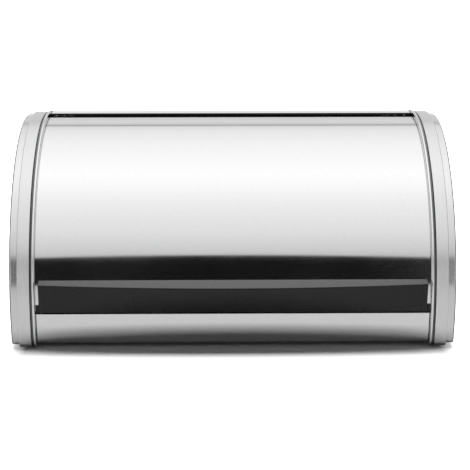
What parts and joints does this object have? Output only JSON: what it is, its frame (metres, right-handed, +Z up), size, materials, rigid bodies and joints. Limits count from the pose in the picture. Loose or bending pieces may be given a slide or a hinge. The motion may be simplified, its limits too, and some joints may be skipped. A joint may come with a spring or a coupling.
{
  "type": "bread box",
  "caption": "Drum-shaped steel bread box with a flat underside, capped ends and a curved roll-top door that turns up and back under the rear shell by a wedge handle.",
  "frame": {"origin": "middle of the bounding box's footprint, on the plane that the feet stand on", "axes": "+X along the drum to the viewer's right, -Y towards the front where the handle is, +Z up"},
  "size_m": [0.367, 0.2864, 0.1782],
  "materials": {
    "polished_steel": "polished, near mirror, with very fine circumferential grain",
    "satin_steel": "satin, brushed along the rim",
    "zinc_steel": "plain zinc-plated sheet and fasteners",
    "black_plastic": "fine satin moulding",
    "grey_plastic": "fine grained moulding",
    "rubber": "matt"
  },
  "bodies": {
    "housing": {"base_plate": "zinc_steel", "foot_front_left": "rubber", "foot_front_right": "rubber", "foot_rear_left": "rubber", "foot_rear_right": "rubber", "front_apron": "polished_steel", "front_rivet_1": "zinc_steel", "front_rivet_2": "zinc_steel", "front_rivet_3": "zinc_steel", "left_base_screw_front": "zinc_steel", "left_base_screw_rear": "zinc_steel", "left_cap_cover": "satin_steel", "left_cap_frame": "satin_steel", "left_cap_screw_low_front": "zinc_steel", "left_cap_screw_low_rear": "zinc_steel", "left_cap_screw_top_front": "zinc_steel", "left_cap_screw_top_rear": "zinc_steel", "left_closed_stop": "rubber", "left_guide_ring": "polished_steel", "left_open_stop": "rubber", "left_side_panel": "grey_plastic", "rear_rivet_1": "zinc_steel", "rear_rivet_2": "zinc_steel", "rear_rivet_3": "zinc_steel", "rear_shell": "polished_steel", "right_base_screw_front": "zinc_steel", "right_base_screw_rear": "zinc_steel", "right_cap_cover": "satin_steel", "right_cap_frame": "satin_steel", "right_cap_screw_low_front": "zinc_steel", "right_cap_screw_low_rear": "zinc_steel", "right_cap_screw_top_front": "zinc_steel", "right_cap_screw_top_rear": "zinc_steel", "right_closed_stop": "rubber", "right_guide_ring": "polished_steel", "right_open_stop": "rubber", "right_side_panel": "grey_plastic", "shell_edge_trim": "black_plastic"},
    "door": {"door_bottom_profile": "black_plastic", "door_handle": "black_plastic", "door_left_runner": "black_plastic", "door_panel": "polished_steel", "door_rear_stiffener": "zinc_steel", "door_right_runner": "black_plastic", "handle_backing_plate": "zinc_steel", "handle_left_end_cap": "black_plastic", "handle_right_end_cap": "black_plastic", "handle_screw_1": "zinc_steel", "handle_screw_2": "zinc_steel", "handle_screw_3": "zinc_steel", "handle_screw_4": "zinc_steel"}
  },
  "joints": [
    {"name": "door_roll", "type": "hinge", "parent": "housing", "child": "door", "pos_m": [0, 0.00605, 0.041], "axis": [-1, 0, 0], "range_deg": [0, 77]}
  ]
}
